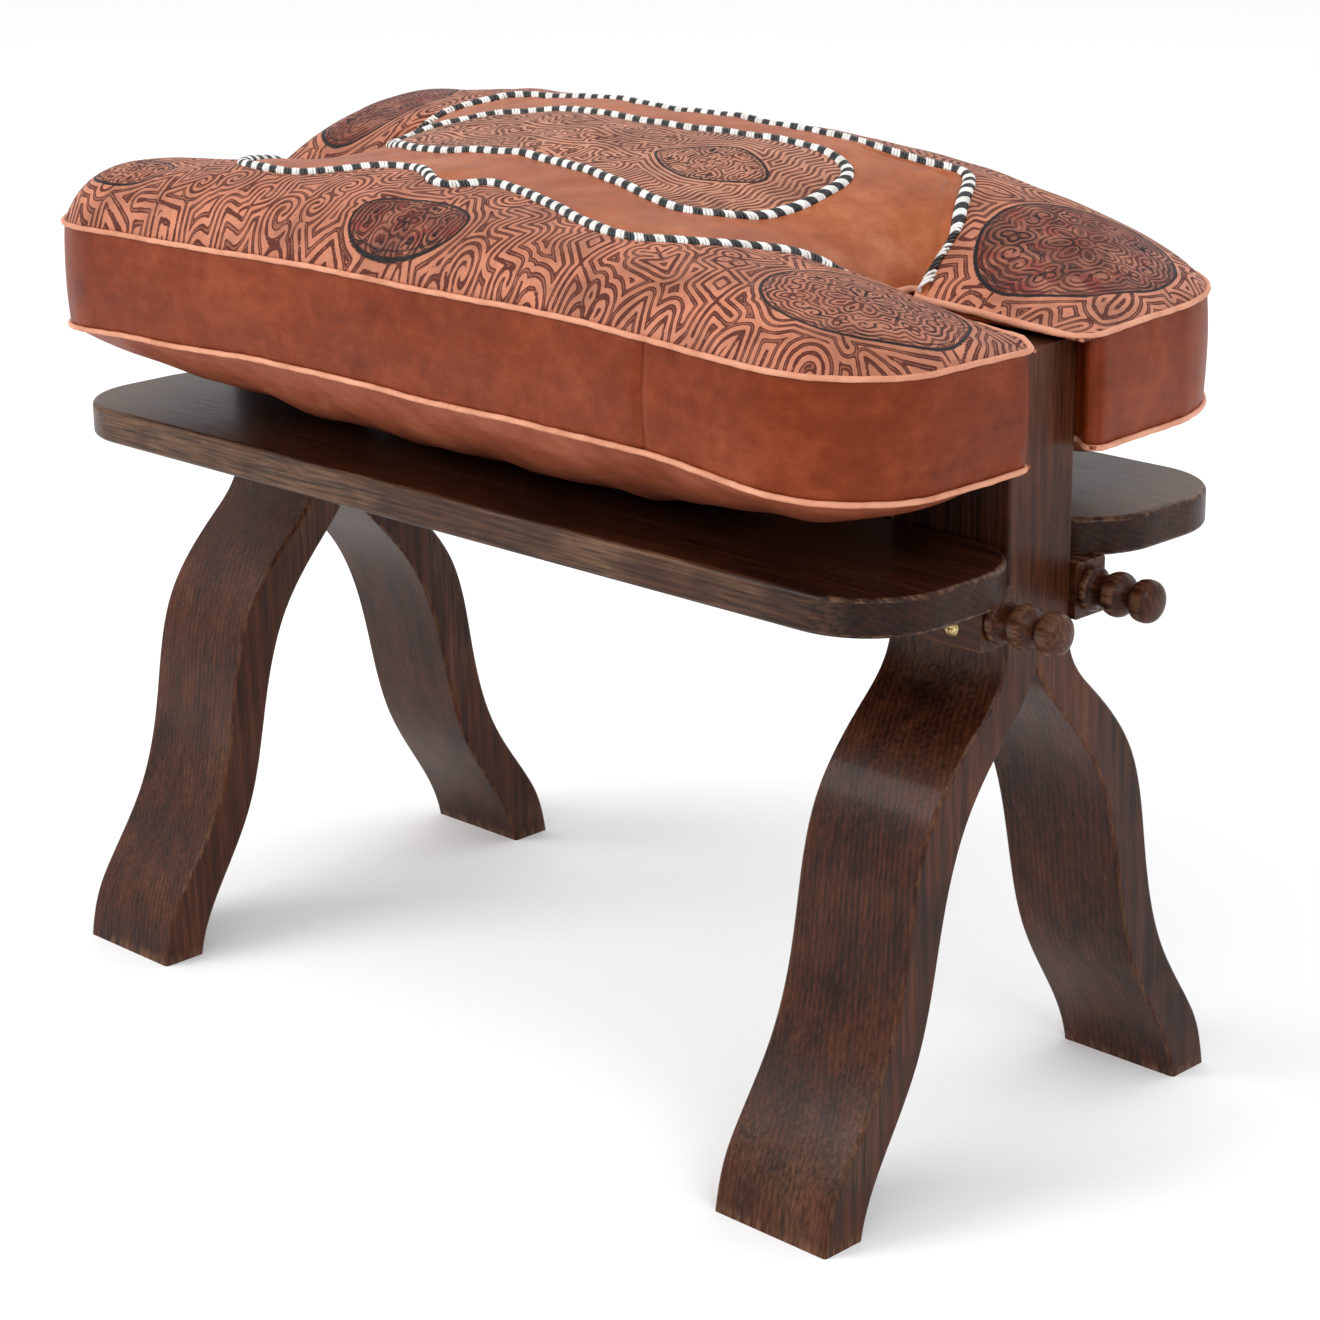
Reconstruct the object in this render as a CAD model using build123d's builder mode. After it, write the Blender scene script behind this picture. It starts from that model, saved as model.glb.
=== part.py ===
from build123d import *
import os

# Camel-saddle stool: two pairs of curved legs crossed by two rails with turned ends,
# two rounded seat boards on the rails, and a stuffed leather cushion whose end slots
# stand round the leg posts.
#
# Frame: millimetres, +X along the stool, +Z up, origin on the floor under its middle.

os.makedirs("parts", exist_ok=True)

# ---- driving dimensions: frame ----
trestle_spacing = 560.0      # between the middles of the two leg pairs
leg_width = 80.0             # along X
leg_thickness = 26.5
leg_edge_round = 2.0
post_top = 457.0             # height of the posts between the cushion's lobes
crotch_height = 284.0        # where the two legs of a pair part

rail_bottom = 304.0
rail_height = 31.0
rail_thickness = 25.0
rail_block_overhang = 3.0    # square part of the rail past the leg's outer face
finial_collar_radius = 12.3
finial_bead_radius = 12.2
finial_neck_radius = 5.0
finial_button_radius = 11.7
finial_length = 45.0

board_half_length = 334.0
left_board_shift = 12.0      # the left board stands a little towards the near end
board_inner_edge = 28.0      # gap for the posts, each side of the middle
board_outer_edge = 160.0
board_thickness = 21.0
board_corner = 50.0
board_edge_round = 3.0

# ---- driving dimensions: cushion ----
cushion_half_length = 338.0
cushion_half_width = 171.0
cushion_corner = 72.0
lobe_inner_corner = 8.0
slot_half_width = 28.6
slot_end = 215.0             # inner end of each slot, from the middle
slot_end_round = 16.0
resting_gap = 0.3            # air between the cushion's underside and the boards
bottom_seam = 405.0
top_seam = 467.0
crown_top = 542.5
lengthwise_arch_top = 560.0  # the arch along X, which only shows near the ends
underside_slope = 48.0       # run of the sloped underside
section_margin = 6.0         # the arches and slopes start this far outside the plan
leather = 3.0
band_seam = 197.0            # joint in the left side of the band, from the middle
piping_radius = 1.6
braid_width = 7.4
braid_height = 2.5

# Plan of the saddle panel's two waved sides and of the medallion.
saddle_left_side = (
    (-195, -106), (-160, -120), (-122, -113), (-68, -88), (-22, -107), (10, -93),
    (54, -102), (100, -116), (140, -122), (176, -98), (197, -58),
)
saddle_right_side = ((186, 99), (105, 93), (20, 93), (-60, 95), (-150, 92))
medallion_points = (
    (-172, -8), (-140, -32), (-98, -41), (-50, -37), (-5, -37), (35, -45), (80, -54), (118, -57),
    (145, -42), (154, -14), (156, 14), (150, 38), (132, 53), (100, 56), (60, 50), (0, 45),
    (-45, 43), (-80, 44), (-115, 34), (-147, 16),
)

# ---- driving dimensions: fasteners ----
rail_screw_radius = 2.5
rail_screw_head_radius = 4.8
rail_screw_head_height = 2.2
rail_screw_depth = 20.0      # how far the point goes into the post
rail_screw_height = 314.0
rail_screw_offset = 23.0     # from the leg's middle plane towards the stool's end
cross_recess_length = 5.6
cross_recess_width = 1.1
cross_recess_depth = 1.2
board_screw_radius = 2.0
board_screw_head_radius = 4.0
board_screw_length = 40.0
board_screw_spacing = 300.0
dowel_radius = 4.0
dowel_length = 36.0
dowel_heights = (352.0, 425.0)

# ---- worked out ----
leg_middle = trestle_spacing / 2
leg_outer_face = leg_middle + leg_width / 2
rail_top = rail_bottom + rail_height
rail_middle_height = rail_bottom + rail_height / 2
rail_outer_face = leg_thickness + rail_thickness
rail_middle = leg_thickness + rail_thickness / 2
rail_block_end = leg_outer_face + rail_block_overhang
board_top = rail_top + board_thickness
cushion_bottom = board_top + resting_gap

LEFT = -1
RIGHT = 1
FAR = -1
NEAR = 1


# ---- legs ----
def leg(side, end):
    """One curved leg: a board bent like an S in the YZ plane, with its post at the top."""
    thickness = side * leg_thickness
    with BuildPart() as solid:
        with BuildSketch(Plane.YZ.offset(end * leg_middle - leg_width / 2)):
            with BuildLine():
                post_outside = Line((thickness, post_top), (thickness, 302))
                outer = Spline(
                    (thickness, 302),
                    (side * 50, 259.5),
                    (side * 86, 216),
                    (side * 102.5, 151.5),
                    (side * 122.5, 86.5),
                    (side * 150.5, 43.5),
                    (side * 166, 0),
                    tangents=((0, -1), (side * 0.15, -1)),
                )
                sole = Line(outer @ 1, (side * 136.5, 0))
                inner = Spline(
                    sole @ 1,
                    (side * 117.5, 43.5),
                    (side * 93, 86.5),
                    (side * 75.5, 151.5),
                    (side * 52.5, 216),
                    (side * 16, 259.5),
                    (0, crotch_height),
                    tangents=((-side * 0.2, 1), (-side * 0.35, 1)),
                )
                post_inside = Line(inner @ 1, (0, post_top))
                Line(post_inside @ 1, post_outside @ 0)
            make_face()
        extrude(amount=leg_width)
        rounded = solid.edges().filter_by(GeomType.BSPLINE)
        fillet(rounded, radius=leg_edge_round)
        with Locations(*[Location((end * leg_middle, 0, height), (90, 0, 0)) for height in dowel_heights]):
            Cylinder(dowel_radius, dowel_length, mode=Mode.SUBTRACT)
        add(rail_screws.part, mode=Mode.SUBTRACT)
    return solid.part


# ---- fasteners ----
with BuildPart() as rail_screw:
    with BuildSketch(Plane.XZ):
        with BuildLine():
            dome = TangentArc((0, rail_screw_head_height), (rail_screw_head_radius, 0), tangent=(1, 0))
            shank_length = rail_thickness + rail_screw_depth
            Polyline(
                dome @ 1,
                (rail_screw_radius, 0),
                (rail_screw_radius, -shank_length + 5),
                (0.4, -shank_length),
                (0, -shank_length),
                (0, rail_screw_head_height),
            )
        make_face()
    revolve(axis=Axis.Z)
    with BuildSketch(Plane.XY.offset(rail_screw_head_height)):
        Rectangle(cross_recess_length, cross_recess_width)
        Rectangle(cross_recess_width, cross_recess_length)
    extrude(amount=-cross_recess_depth, mode=Mode.SUBTRACT)

with BuildPart() as rail_screws:
    for side in (LEFT, RIGHT):
        for end in (FAR, NEAR):
            head_plane = Plane(
                origin=(end * (leg_middle + rail_screw_offset), side * rail_outer_face, rail_screw_height),
                x_dir=(1, 0, 0),
                z_dir=(0, side, 0),
            )
            add(head_plane * rail_screw.part)
rail_screws.part.label = "rail_screws"
export_step(rail_screws.part, "parts/rail_screws.step")

with BuildPart() as board_screws:
    for side in (LEFT, RIGHT):
        for end in (FAR, NEAR):
            place = (end * board_screw_spacing / 2, side * rail_middle, board_top)
            with BuildSketch(Plane(origin=place)):
                Circle(board_screw_head_radius)
            extrude(amount=-board_screw_head_radius, taper=27)
            with BuildSketch(Plane(origin=place)):
                Circle(board_screw_radius)
            extrude(amount=-board_screw_length)
board_screws.part.label = "board_screws"
export_step(board_screws.part, "parts/board_screws.step")

with BuildPart() as post_dowels:
    for end in (FAR, NEAR):
        for height in dowel_heights:
            with BuildSketch(Plane.XZ.offset(-dowel_length / 2)):
                with Locations((end * leg_middle, height)):
                    Circle(dowel_radius)
            extrude(amount=dowel_length)
post_dowels.part.label = "post_dowels"
export_step(post_dowels.part, "parts/post_dowels.step")

for side, side_name in ((LEFT, "left"), (RIGHT, "right")):
    for end, end_name in ((FAR, "far"), (NEAR, "near")):
        piece = leg(side, end)
        piece.label = f"leg_{end_name}_{side_name}"
        export_step(piece, f"parts/{piece.label}.step")


# ---- rails ----
def finial():
    """Turned end of a rail along +X: collar, grooved cove, bead, narrow neck and button."""
    with BuildPart() as turning:
        with BuildSketch(Plane.XZ):
            with BuildLine():
                root = Line((0, 0), (0, 10))
                collar = ThreePointArc(root @ 1, (3, finial_collar_radius), (6, 10))
                cove = ThreePointArc(collar @ 1, (9, 8.8), (12, 9.4))
                bead = Spline(cove @ 1, (20.5, finial_bead_radius), (28.5, finial_neck_radius))
                neck = Line(bead @ 1, (30, finial_neck_radius))
                button = Spline(
                    neck @ 1,
                    (36.5, finial_button_radius),
                    (finial_length, 0),
                    tangents=((0.1, 1), (0, -1)),
                )
                Line(button @ 1, root @ 0)
            make_face()
        revolve(axis=Axis.X)
    return turning.part


def rail(side):
    """One rail: a square bar along the posts' outer faces with a turned finial at each end."""
    middle = (0, side * rail_middle, rail_middle_height)
    with BuildPart() as bar:
        with Locations(middle):
            Box(2 * rail_block_end, rail_thickness, rail_height)
        chamfer(bar.edges().filter_by(Axis.X), length=1.0)
        for end in (FAR, NEAR):
            place = Plane(
                origin=(end * rail_block_end, side * rail_middle, rail_middle_height),
                x_dir=(end, 0, 0),
                z_dir=(0, 0, 1),
            )
            add(place * finial())
        add(rail_screws.part, mode=Mode.SUBTRACT)
        add(board_screws.part, mode=Mode.SUBTRACT)
    return bar.part


for side, side_name in ((LEFT, "left"), (RIGHT, "right")):
    piece = rail(side)
    piece.label = f"rail_{side_name}"
    export_step(piece, f"parts/{piece.label}.step")


# ---- seat boards ----
def seat_board(side):
    """One flat board on a rail, with wide round corners."""
    width = board_outer_edge - board_inner_edge
    middle = side * (board_outer_edge + board_inner_edge) / 2
    shift = left_board_shift if side == LEFT else 0
    with BuildPart() as board:
        with BuildSketch(Plane((shift, middle, rail_top))) as outline:
            Rectangle(2 * board_half_length, width)
            fillet(outline.vertices(), radius=board_corner)
        extrude(amount=board_thickness)
        fillet(board.faces().sort_by(Axis.Z)[-1].edges(), radius=board_edge_round)
        fillet(board.faces().sort_by(Axis.Z)[0].edges(), radius=board_edge_round)
        add(board_screws.part, mode=Mode.SUBTRACT)
    return board.part


for side, side_name in ((LEFT, "left"), (RIGHT, "right")):
    piece = seat_board(side)
    piece.label = f"seat_board_{side_name}"
    export_step(piece, f"parts/{piece.label}.step")


# ---- cushion forms ----
def cushion_outline(inset):
    """Plan of the cushion: a long round-cornered pad with a slot cut into each end."""
    half_length = cushion_half_length - inset
    slot_bottom = slot_end - inset
    slot_half = slot_half_width + inset
    with BuildSketch() as plan:
        RectangleRounded(2 * half_length, 2 * (cushion_half_width - inset), cushion_corner - inset)
        for end in (FAR, NEAR):
            with Locations((end * (slot_bottom + half_length) / 2, 0)):
                Rectangle(half_length - slot_bottom, 2 * slot_half, mode=Mode.SUBTRACT)
        slot_edge_corners = plan.vertices().filter_by(lambda v: abs(v.Y) < slot_half + 1)
        fillet(slot_edge_corners.filter_by(lambda v: abs(v.X) < slot_bottom + 1), slot_end_round + inset)
        fillet(slot_edge_corners.filter_by(lambda v: abs(v.X) > half_length - 1), lobe_inner_corner - inset)
    return plan.sketch


def pillow_section(half_reach, arch_top, inset):
    """Upright section: flat sole, sloped underside, upright sides just past the plan, arched top."""
    edge = half_reach + section_margin
    foot = edge - underside_slope
    with BuildSketch() as section:
        with BuildLine():
            arch = ThreePointArc((-edge, top_seam), (0, arch_top), (edge, top_seam))
            Polyline(
                arch @ 1,
                (edge, bottom_seam),
                (foot, cushion_bottom),
                (-foot, cushion_bottom),
                (-edge, bottom_seam),
                arch @ 0,
            )
        make_face()
        if inset:
            offset(amount=-inset, kind=Kind.INTERSECTION, mode=Mode.REPLACE)
    return section.sketch


def cushion_form(inset):
    """The cushion's closed form, inset all over: arched top, upright band, sloped underside."""
    plan = cushion_outline(inset)
    side_section = pillow_section(cushion_half_length, lengthwise_arch_top, inset)
    end_section = pillow_section(cushion_half_width, crown_top, inset)
    with BuildPart() as form:
        with BuildSketch(Plane.XY.offset(cushion_bottom - leather)):
            add(plan)
        extrude(amount=lengthwise_arch_top - cushion_bottom)
        with BuildSketch(Plane.XZ.offset(-cushion_half_length)):
            add(side_section)
        extrude(amount=2 * cushion_half_length, mode=Mode.INTERSECT)
        with BuildSketch(Plane.YZ.offset(-2 * cushion_half_length)):
            add(end_section)
        extrude(amount=4 * cushion_half_length, mode=Mode.INTERSECT)
    return form.part


def grown(points, amount, closed=False):
    """The points moved sideways to the right of their run by an amount, along their own normals."""
    moved = []
    count = len(points)
    for index, (x, y) in enumerate(points):
        before = points[index - 1] if closed or index else points[0]
        after = points[(index + 1) % count] if closed or index + 1 < count else points[-1]
        normal = Vector(after[1] - before[1], before[0] - after[0]).normalized()
        moved.append((x + amount * normal.X, y + amount * normal.Y))
    return moved


def saddle_outline(grow=0.0):
    """Plan of the plain saddle panel, grown all round: waved sides, ends running into the slots."""
    left = grown(saddle_left_side, grow)
    right = grown(saddle_right_side, grow)
    throat = slot_end + 20 + grow
    throat_half_width = slot_half_width + grow
    with BuildSketch() as plan:
        with BuildLine():
            left_wave = Spline(*left)
            near_left = Line(left_wave @ 1, (throat, -throat_half_width))
            near_throat = Line(near_left @ 1, (throat, throat_half_width))
            near_right = Line(near_throat @ 1, right[0])
            right_wave = Spline(*right)
            far_right = Line(right_wave @ 1, (-throat, throat_half_width))
            far_throat = Line(far_right @ 1, (-throat, -throat_half_width))
            Line(far_throat @ 1, left_wave @ 0)
        make_face()
    return plan.sketch


def medallion_outline(grow=0.0):
    """Plan of the tooled medallion on the middle of the saddle panel, grown all round."""
    with BuildSketch() as plan:
        with BuildLine():
            Spline(*grown(medallion_points, grow, closed=True), periodic=True)
        make_face()
    return plan.sketch


def ribbon(outline):
    """A strip as wide as the braid, along the middle of which the outline runs."""
    with BuildSketch() as strip:
        add(outline(braid_width / 2))
        add(outline(-braid_width / 2), mode=Mode.SUBTRACT)
    return strip.sketch


def piping(seam_height):
    """The round welt sewn into the seam at the given height, all round the cushion."""
    with BuildPart() as welt:
        for edge in cushion_outline(0).edges():
            run = edge.moved(Location((0, 0, seam_height)))
            with BuildSketch(Plane(origin=run @ 0, z_dir=run % 0)):
                Circle(piping_radius)
            sweep(path=run)
    return welt.part


def finish(piece, name):
    """Name a finished piece and write it out."""
    piece.label = name
    export_step(piece, f"parts/{name}.step")


# ---- cushion pieces ----
cover = cushion_form(0)
stuffing = cushion_form(leather)
over_cover = cushion_form(-braid_height)
top_rise = crown_top - top_seam + 2 * braid_height
half_area = (3 * cushion_half_length, 2 * cushion_half_width)

with BuildPart() as cushion_filling:
    add(stuffing)
finish(cushion_filling.part, "cushion_filling")

with BuildPart() as piping_top:
    add(piping(top_seam))
finish(piping_top.part, "piping_top")

with BuildPart() as piping_bottom:
    add(piping(bottom_seam))
finish(piping_bottom.part, "piping_bottom")

with BuildPart() as skin:
    add(cover)
    add(stuffing, mode=Mode.SUBTRACT)
    add(piping_top.part, mode=Mode.SUBTRACT)
    add(piping_bottom.part, mode=Mode.SUBTRACT)

with BuildPart() as underside_panel:
    add(skin.part)
    split(bisect_by=Plane.XY.offset(bottom_seam), keep=Keep.BOTTOM)
finish(underside_panel.part, "underside_panel")

with BuildPart() as medallion_panel:
    add(skin.part)
    with BuildSketch(Plane.XY.offset(top_seam)):
        add(medallion_outline())
    extrude(amount=top_rise, mode=Mode.INTERSECT)
finish(medallion_panel.part, "medallion_panel")

with BuildPart() as saddle_panel:
    add(skin.part)
    with BuildSketch(Plane.XY.offset(top_seam)):
        add(saddle_outline())
        add(medallion_outline(), mode=Mode.SUBTRACT)
    extrude(amount=top_rise, mode=Mode.INTERSECT)
finish(saddle_panel.part, "saddle_panel")

for side, side_name in ((LEFT, "left"), (RIGHT, "right")):
    with BuildPart() as tooled_panel:
        add(skin.part)
        with BuildSketch(Plane((0, side * cushion_half_width, top_seam))):
            Rectangle(*half_area)
        extrude(amount=top_rise, mode=Mode.INTERSECT)
        with BuildSketch(Plane.XY.offset(top_seam - 1)):
            add(saddle_outline())
        extrude(amount=top_rise, mode=Mode.SUBTRACT)
    finish(tooled_panel.part, f"tooled_panel_{side_name}")

with BuildPart() as band:
    add(skin.part)
    with BuildSketch(Plane.XY.offset(bottom_seam)):
        Rectangle(*half_area)
    extrude(amount=top_seam - bottom_seam, mode=Mode.INTERSECT)

facing_length = cushion_half_length - slot_end + leather
facing_middle = (cushion_half_length + slot_end - leather) / 2
for end, end_name in ((FAR, "far"), (NEAR, "near")):
    with BuildPart() as slot_facing:
        add(band.part)
        with BuildSketch(Plane((end * facing_middle, 0, bottom_seam))):
            Rectangle(facing_length, 2 * (slot_half_width + leather))
        extrude(amount=top_seam - bottom_seam, mode=Mode.INTERSECT)
    finish(slot_facing.part, f"slot_facing_{end_name}")

with BuildPart() as outer_band:
    add(band.part)
    with BuildSketch(Plane.XY.offset(bottom_seam - 1)):
        Rectangle(3 * cushion_half_length, 2 * (slot_half_width + leather))
    extrude(amount=top_seam - bottom_seam + 2, mode=Mode.SUBTRACT)

with BuildPart() as band_right:
    add(outer_band.part)
    split(bisect_by=Plane.XZ, keep=Keep.BOTTOM)
finish(band_right.part, "band_right")

for end, end_name in ((FAR, "far"), (NEAR, "near")):
    with BuildPart() as band_left:
        add(outer_band.part)
        split(bisect_by=Plane.XZ, keep=Keep.TOP)
        split(bisect_by=Plane.YZ.offset(band_seam), keep=Keep.TOP if end == NEAR else Keep.BOTTOM)
    finish(band_left.part, f"band_left_{end_name}")

with BuildPart() as braid_layer:
    add(over_cover)
    add(cover, mode=Mode.SUBTRACT)

with BuildPart() as medallion_braid:
    add(braid_layer.part)
    with BuildSketch(Plane.XY.offset(top_seam)):
        add(ribbon(medallion_outline))
    extrude(amount=top_rise, mode=Mode.INTERSECT)
finish(medallion_braid.part, "medallion_braid")

for side, side_name in ((LEFT, "left"), (RIGHT, "right")):
    with BuildPart() as saddle_braid:
        add(braid_layer.part)
        with BuildSketch(Plane.XY.offset(top_seam)):
            add(ribbon(saddle_outline))
            Rectangle(3 * cushion_half_length, 2 * slot_half_width, mode=Mode.SUBTRACT)
            with Locations((0, -side * cushion_half_width)):
                Rectangle(*half_area, mode=Mode.SUBTRACT)
        extrude(amount=top_rise, mode=Mode.INTERSECT)
    finish(saddle_braid.part, f"saddle_braid_{side_name}")
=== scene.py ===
from math import cos, pi, radians, sin

import bpy
import numpy as np
from mathutils import Matrix, Vector
from mathutils.kdtree import KDTree


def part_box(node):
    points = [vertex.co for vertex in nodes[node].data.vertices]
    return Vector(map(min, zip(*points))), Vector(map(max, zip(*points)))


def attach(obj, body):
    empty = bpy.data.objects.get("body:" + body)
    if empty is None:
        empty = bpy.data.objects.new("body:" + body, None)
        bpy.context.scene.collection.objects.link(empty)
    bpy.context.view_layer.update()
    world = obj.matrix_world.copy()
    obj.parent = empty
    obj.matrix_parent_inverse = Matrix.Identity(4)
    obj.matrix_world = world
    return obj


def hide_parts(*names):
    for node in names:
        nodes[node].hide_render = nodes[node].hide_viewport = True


# A camel-saddle stool: the dark-stained frame is kept from the CAD, and the stuffed
# leather cushion is built here. Metres, in the CAD's own frame: +X along the stool,
# +Z up, floor at Z = 0. Lengths named _mm are millimetres.

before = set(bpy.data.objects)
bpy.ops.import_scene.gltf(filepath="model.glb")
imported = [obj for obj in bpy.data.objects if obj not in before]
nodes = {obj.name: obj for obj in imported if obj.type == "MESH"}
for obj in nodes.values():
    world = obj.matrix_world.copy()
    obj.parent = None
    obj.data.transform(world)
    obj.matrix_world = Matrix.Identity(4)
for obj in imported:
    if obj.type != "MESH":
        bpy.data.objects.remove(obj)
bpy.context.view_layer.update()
MM = 0.001


# ---- plan of the cushion, mm
def middle_and_half(node, axis):
    low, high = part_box(node)
    return (low[axis] + high[axis]) / 2 / MM, (high[axis] - low[axis]) / 2 / MM


def held(value):
    """Kept between 0 and 1."""
    return np.clip(value, 0, 1)


def unit(vectors):
    return vectors / np.linalg.norm(vectors, axis=-1)[..., None]


PIPING = 1.6
LEATHER = 3.0
CUSHION_X, HALF_LENGTH = middle_and_half("piping_top", 0)
HALF_LENGTH -= PIPING
HALF_WIDTH = middle_and_half("piping_top", 1)[1] - PIPING
SLOT_HALF = middle_and_half("slot_facing_near", 1)[1] - LEATHER
SLOT_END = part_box("slot_facing_near")[0][0] / MM + LEATHER - CUSHION_X
CORNER = 72.0
SLOT_ROUND = 16.0
LOBE_ROUND = 8.0
TOP_SEAM = middle_and_half("piping_top", 2)[0]
BOTTOM_SEAM = middle_and_half("piping_bottom", 2)[0]
BOARD_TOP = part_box("seat_board_left")[1][2] / MM
REST = BOARD_TOP + 0.6

# The braids' lines, close to those of part.py, about the cushion's middle.
SADDLE_LEFT = [
    (-195, -106), (-160, -120), (-122, -113), (-68, -88), (-22, -107), (10, -93),
    (54, -102), (100, -116), (140, -122), (176, -98), (197, -58),
]
SADDLE_RIGHT = [(182, 103), (150, 101), (105, 94), (20, 93), (-60, 95), (-150, 92)]
MEDALLION = [
    (-172, -8), (-140, -32), (-98, -41), (-50, -37), (-5, -37), (35, -45), (80, -54), (118, -57),
    (145, -42), (154, -14), (156, 14), (150, 38), (132, 53), (100, 56), (60, 50), (0, 45),
    (-45, 43), (-80, 44), (-115, 34), (-147, 16),
]


def smooth_line(points, step, closed=False):
    """Catmull-Rom line through the points, sampled about every step."""
    points = np.array(points, float)
    if closed:
        padded = np.vstack([points[-1:], points, points[:2]])
    else:
        padded = np.vstack([2 * points[:1] - points[1:2], points, 2 * points[-1:] - points[-2:-1]])
    line = []
    for a, b, c, d in zip(padded, padded[1:], padded[2:], padded[3:]):
        count = max(2, int(round(np.linalg.norm(c - b) / step)))
        t = np.arange(count)[:, None] / count
        line.append(
            0.5 * (2 * b + (c - a) * t + (2 * a - 5 * b + 4 * c - d) * t**2 + (3 * b - a - 3 * c + d) * t**3)
        )
    if not closed:
        line.append(points[-1:])
    return np.vstack(line)


def resample(line, step, closed=False):
    """Points evenly spaced along a line."""
    line = np.vstack([line, line[:1]]) if closed else np.asarray(line, float)
    lengths = np.concatenate([[0], np.cumsum(np.linalg.norm(np.diff(line, axis=0), axis=1))])
    count = max(2, int(round(lengths[-1] / step)))
    at = np.linspace(0, lengths[-1], count + 1)
    even = np.column_stack([np.interp(at, lengths, line[:, k]) for k in range(line.shape[1])])
    return even[:-1] if closed else even


def filleted(corners, radii, step):
    """Closed line round a polygon whose corners have the given radii."""
    corners = np.array(corners, float)
    line = []
    for index, (corner, radius) in enumerate(zip(corners, radii)):
        to_last = unit(corners[index - 1] - corner)
        to_next = unit(corners[(index + 1) % len(corners)] - corner)
        centre = corner + (to_last + to_next) * radius
        count = max(3, int(radius * pi / 2 / step))
        for t in np.linspace(0, pi / 2, count):
            line.append(centre - to_next * radius * cos(t) - to_last * radius * sin(t))
    return np.array(line)


def cushion_line(step):
    """The cushion's outline, anticlockwise from its near left corner, with its two slots."""
    l, w, s, e = HALF_LENGTH, HALF_WIDTH, SLOT_HALF, SLOT_END
    corners = [
        (l, -w), (l, -s), (e, -s), (e, s), (l, s), (l, w),
        (-l, w), (-l, s), (-e, s), (-e, -s), (-l, -s), (-l, -w),
    ]
    radii = [CORNER, LOBE_ROUND, SLOT_ROUND, SLOT_ROUND, LOBE_ROUND, CORNER] * 2
    line = resample(filleted(corners, radii, 1.0), step, closed=True)
    line[:, 0] += CUSHION_X
    return line


def outward(line, closed=True):
    """Unit normals on the right of a line's run."""
    if closed:
        run = np.roll(line, -1, axis=0) - np.roll(line, 1, axis=0)
    else:
        run = np.gradient(line, axis=0)
    return unit(np.column_stack([run[:, 1], -run[:, 0]]))


def saddle_line():
    throat = SLOT_END + 20
    left = smooth_line(SADDLE_LEFT, 3)
    right = smooth_line(SADDLE_RIGHT, 3)
    near = [(throat, -SLOT_HALF), (throat, SLOT_HALF)]
    far = [(-throat, SLOT_HALF), (-throat, -SLOT_HALF)]
    return np.vstack([left, near, right, far]) + (CUSHION_X, 0)


def medallion_line():
    return smooth_line(MEDALLION, 3, closed=True) + (CUSHION_X, 0)


def round_box(x, y, half_x, half_y, radius):
    """Signed distance outside a rectangle with round corners."""
    ax = np.abs(x) - half_x + radius
    ay = np.abs(y) - half_y + radius
    return np.hypot(np.maximum(ax, 0), np.maximum(ay, 0)) + np.minimum(np.maximum(ax, ay), 0) - radius


def depth_in_sides(x, y):
    return -round_box(x - CUSHION_X, y, HALF_LENGTH, HALF_WIDTH, CORNER)


def depth_from_slots(x, y):
    return round_box(np.abs(x - CUSHION_X) - SLOT_END - 200, y, 200, SLOT_HALF, SLOT_ROUND)


def depth_in_cushion(x, y):
    """Distance in from the nearest edge of the cushion's plan, negative outside it."""
    return np.minimum(depth_in_sides(x, y), depth_from_slots(x, y))


def depth_in_line(x, y, line):
    """Signed distance inside a closed line, by its nearest run."""
    near = np.full(x.shape, 1e9)
    inside = np.zeros(x.shape, bool)
    for (x0, y0), (x1, y1) in zip(line, np.roll(line, -1, axis=0)):
        dx, dy = x1 - x0, y1 - y0
        t = held(((x - x0) * dx + (y - y0) * dy) / (dx * dx + dy * dy + 1e-9))
        near = np.minimum(near, (x - x0 - t * dx) ** 2 + (y - y0 - t * dy) ** 2)
        if y0 != y1:
            inside ^= ((y0 > y) != (y1 > y)) & (x < x0 + (y - y0) * dx / dy)
    return np.where(inside, 1, -1) * np.sqrt(near)


# ---- heights of the cushion, mm
def waves(x, y, size, seed):
    """Soft seeded unevenness between about -1 and 1, on the given scale."""
    rng = np.random.RandomState(seed)
    total = np.zeros_like(x)
    for _ in range(7):
        angle, phase = rng.uniform(0, 2 * pi, 2)
        length = size * rng.uniform(0.7, 1.5)
        total += np.sin((x * cos(angle) + y * sin(angle)) * 2 * pi / length + phase)
    return total / 3.2


def droop(x):
    """How far the cushion's ends hang, from 0 over the boards' middle to 1 at its ends."""
    return held((np.abs(x - CUSHION_X) - 120) / 220) ** 2


def top_seam(x, y):
    by_slot = held((np.abs(x - CUSHION_X) - 195) / 50) * held(1 - np.abs(y) / 70)
    return TOP_SEAM + 4.5 - np.where(x > 0, 9.5, 6.0) * droop(x) - 2.0 * by_slot + 0.7 * waves(x, y, 170, 11)


def bottom_seam(x, y):
    return BOTTOM_SEAM + 6.5 - np.where(x > 0, 12.0, 9.0) * droop(x) + 1.0 * waves(x, y, 150, 12)


def crown(x, y):
    """Height of the stuffed top: fuller on the right, valleys running out to the slots."""
    sides = np.maximum(depth_in_sides(x, y), 0)
    slots = np.maximum(depth_from_slots(x, y), 0)
    rise = 54.5 + 9.5 * np.tanh(y / 30)
    rise -= held((x - 60) / 250) ** 1.65 * (29.7 + 12.9 * np.tanh(y / 40))
    rise -= held((-x - 150) / 200) ** 1.5 * 6.5
    lobes = held((np.abs(x - CUSHION_X) - 200) / 60)
    reach = 20 + 4 * lobes
    return top_seam(x, y) + rise * (1 - np.exp(-sides / 15.5)) * (1 - np.exp(-slots / reach))


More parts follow.
